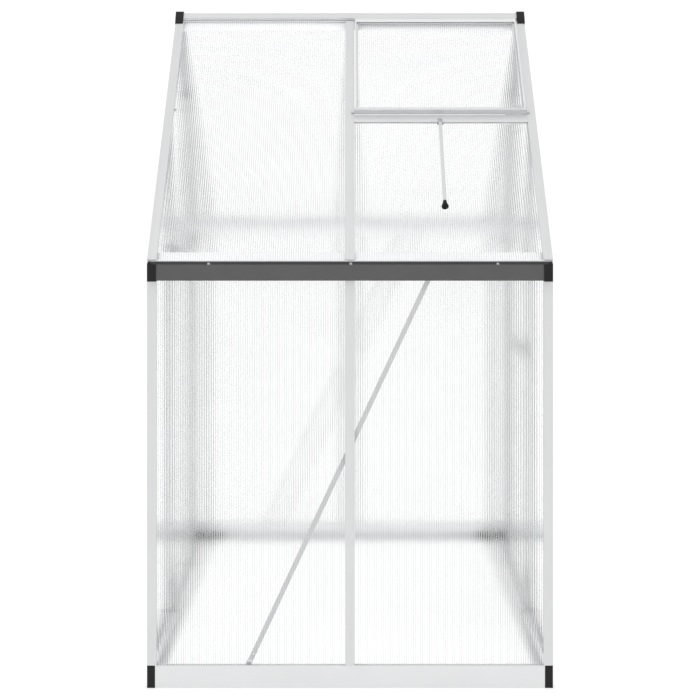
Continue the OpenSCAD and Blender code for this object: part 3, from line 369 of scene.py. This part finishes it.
def components(o):
    """Vertex positions of each separate solid of a CAD node."""
    key = {}
    parent = []
    def find(a):
        while parent[a] != a:
            parent[a] = parent[parent[a]]
            a = parent[a]
        return a
    idx = []
    for v in o.data.vertices:
        k = tuple(round(c * 1e5) for c in v.co)
        if k not in key:
            key[k] = len(parent)
            parent.append(len(parent))
        idx.append(key[k])
    for e in o.data.edges:
        a, b = find(idx[e.vertices[0]]), find(idx[e.vertices[1]])
        if a != b:
            parent[a] = b
    groups = {}
    for k, i in key.items():
        groups.setdefault(find(i), []).append(Vector(k) * 1e-5)
    return [groups[g] for g in sorted(groups, key=lambda g: tuple(min(groups[g], key=lambda p: tuple(p))))]

def hull2(pts):
    pts = sorted(set((round(a, 6), round(b, 6)) for a, b in pts))
    def half(ps):
        h = []
        for p in ps:
            while len(h) > 1 and (h[-1][0] - h[-2][0]) * (p[1] - h[-2][1]) - (h[-1][1] - h[-2][1]) * (p[0] - h[-2][0]) <= 1e-12:
                h.pop()
            h.append(p)
        return h
    lo, up = half(pts), half(pts[::-1])
    return lo[:-1] + up[:-1]

def span_at(poly, x):
    ys = []
    for (x0, y0), (x1, y1) in zip(poly, poly[1:] + poly[:1]):
        if abs(x1 - x0) < 1e-9:
            continue
        if min(x0, x1) - 1e-9 <= x <= max(x0, x1) + 1e-9:
            ys.append(y0 + (y1 - y0) * (x - x0) / (x1 - x0))
    return (min(ys), max(ys)) if len(ys) > 1 else None

def prism(bm, poly, place, d0, d1, mat, mat_end=None):
    """Closed prism of a convex outline between two depths."""
    lo = [bm.verts.new(place(x, y, d0)) for x, y in poly]
    hi = [bm.verts.new(place(x, y, d1)) for x, y in poly]
    fs = [bm.faces.new(lo[::-1]), bm.faces.new(hi)]
    k = len(poly)
    for i in range(k):
        fs.append(bm.faces.new((lo[i], lo[(i + 1) % k], hi[(i + 1) % k], hi[i])))
    for f in fs:
        f.material_index = mat
    if mat_end is not None:
        fs[0].material_index = fs[1].material_index = mat_end

def sheet(name, pts, body, node):
    c = sum(pts, Vector()) / len(pts)
    ext = [max(p[i] for p in pts) - min(p[i] for p in pts) for i in range(3)]
    if ext[1] < 0.006:
        nrm, w = Vector((0, 1 if c.y > 0 else -1, 0)), Vector((1, 0, 0))
    elif ext[0] < 0.006:
        nrm, w = Vector((1 if c.x > 0 else -1, 0, 0)), Vector((0, 1, 0))
    else:
        s = 1 if c.y > 0 else -1
        nrm, w = Vector((0, s * math.sin(PITCH), math.cos(PITCH))), Vector((1, 0, 0))
    v = nrm.cross(w)
    if v.z < 0:
        v = -v
    if w.cross(v).dot(nrm) < 0:
        w = -w
    outer = max(p.dot(nrm) for p in pts)
    inner = min(p.dot(nrm) for p in pts)
    poly = hull2([(p.dot(w), p.dot(v)) for p in pts])
    place = lambda x, y, d: w * x + v * y + nrm * d
    bm = bmesh.new()
    prism(bm, poly, place, outer - SKIN, outer, 0)
    prism(bm, poly, place, inner, inner + SKIN, 0)
    x0, x1 = min(p[0] for p in poly), max(p[0] for p in poly)
    count = int((x1 - x0 - 2 * RIB) // PITCH_RIB)
    start = (x0 + x1 - count * PITCH_RIB) / 2
    for i in range(count + 1):
        x = start + i * PITCH_RIB
        a, b = span_at(poly, x - RIB / 2), span_at(poly, x + RIB / 2)
        if not a or not b:
            continue
        y0, y1 = max(a[0], b[0]) + 0.0002, min(a[1], b[1]) - 0.0002
        if y1 - y0 < 0.004:
            continue
        prism(bm, [(x - RIB / 2, y0), (x + RIB / 2, y0), (x + RIB / 2, y1), (x - RIB / 2, y1)], place, inner + SKIN, outer - SKIN, 1, 2)
    bmesh.ops.recalc_face_normals(bm, faces=bm.faces)
    me = bpy.data.meshes.new(name)
    bm.to_mesh(me)
    bm.free()
    me.materials.append(skin_m)
    me.materials.append(rib_m)
    me.materials.append(rib_end_m)
    o = bpy.data.objects.new(name, me)
    bpy.context.scene.collection.objects.link(o)
    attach(o, body)
    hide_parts(node)
    return o

for node, body in PANES.items():
    for i, pts in enumerate(components(N[node]), 1):
        sheet("%s_twin_wall_%d" % (node, i), pts, body, node)

# ------------------------------------------------------------------ stage
bm = bmesh.new()
for x, y in ((-40, -40), (40, -40), (40, 40), (-40, 40)):
    bm.verts.new((x, y, -0.0006))
bm.faces.new(bm.verts)
me = bpy.data.meshes.new("floor")
bm.to_mesh(me); bm.free()
floor = bpy.data.objects.new("floor", me)
bpy.context.scene.collection.objects.link(floor)
fm, nt, out = new_mat("floor_pale")
d = nt.nodes.new("ShaderNodeBsdfDiffuse")
nt.links.new(mix_col(nt, remap(nt, noise(nt, coords(nt, (1, 1, 1)), 0.8, 3.0), 0, 1), (0.50, 0.50, 0.50), (0.52, 0.52, 0.52)), d.inputs["Color"])
e = nt.nodes.new("ShaderNodeEmission"); e.inputs["Strength"].default_value = 0.50
a = nt.nodes.new("ShaderNodeAddShader")
nt.links.new(d.outputs[0], a.inputs[0]); nt.links.new(e.outputs[0], a.inputs[1])
nt.links.new(a.outputs[0], out.inputs[0])
me.materials.append(fm)

world = bpy.data.worlds.new("studio")
bpy.context.scene.world = world
world.use_nodes = True
bg = world.node_tree.nodes["Background"]
bg.inputs["Color"].default_value = (1, 1, 1, 1)
bg.inputs["Strength"].default_value = 1.05

def area(name, loc, target, size, energy):
    l = bpy.data.lights.new(name, "AREA")
    l.size = size
    l.energy = energy
    o = bpy.data.objects.new(name, l)
    o.location = loc
    o.rotation_mode = "QUATERNION"
    o.rotation_quaternion = (Vector(target) - Vector(loc)).to_track_quat("-Z", "Y")
    bpy.context.scene.collection.objects.link(o)
    o.visible_camera = False
    o.visible_transmission = False
    return o
area("key", (-3.0, -4.5, 6.0), (0, 0, 0.9), 4.0, 90)
area("fill", (4.5, -2.0, 4.0), (0, 0, 0.9), 4.0, 40)

# ------------------------------------------------------------------ camera
cam = bpy.data.cameras.new("camera")
cam.sensor_width = 36.0
cam.lens = 86.84
cam.clip_end = 100
co = bpy.data.objects.new("camera", cam)
CAM = Vector((0.0, -5.5685, 1.6532))
co.location = CAM
co.rotation_euler = (math.radians(90), 0, 0)
bpy.context.scene.collection.objects.link(co)
bpy.context.scene.camera = co
# The level camera sees the object low in the frame, so the lens is shifted. The shift belongs to this one place only:
# a driver takes it away as soon as the camera stands anywhere else.
spot = bpy.data.objects.new("camera_spot", None)
spot.location = CAM
bpy.context.scene.collection.objects.link(spot)
SHIFT = -249.0 / 700.0
fc = cam.driver_add("shift_y")
drv = fc.driver
drv.type = "SUM"
var = drv.variables.new()
var.type = "LOC_DIFF"
var.targets[0].id = co
var.targets[1].id = spot
while fc.modifiers:
    fc.modifiers.remove(fc.modifiers[0])
for kx, ky in ((0.0, SHIFT), (0.01, SHIFT), (0.02, 0.0), (50.0, 0.0)):
    k = fc.keyframe_points.insert(kx, ky)
    k.interpolation = "LINEAR"

bpy.context.scene.view_settings.view_transform = "Standard"
# the sheets are many surfaces deep when they are seen edge on
cy = bpy.context.scene.cycles
cy.max_bounces = 40
cy.transmission_bounces = 40
cy.transparent_max_bounces = 64
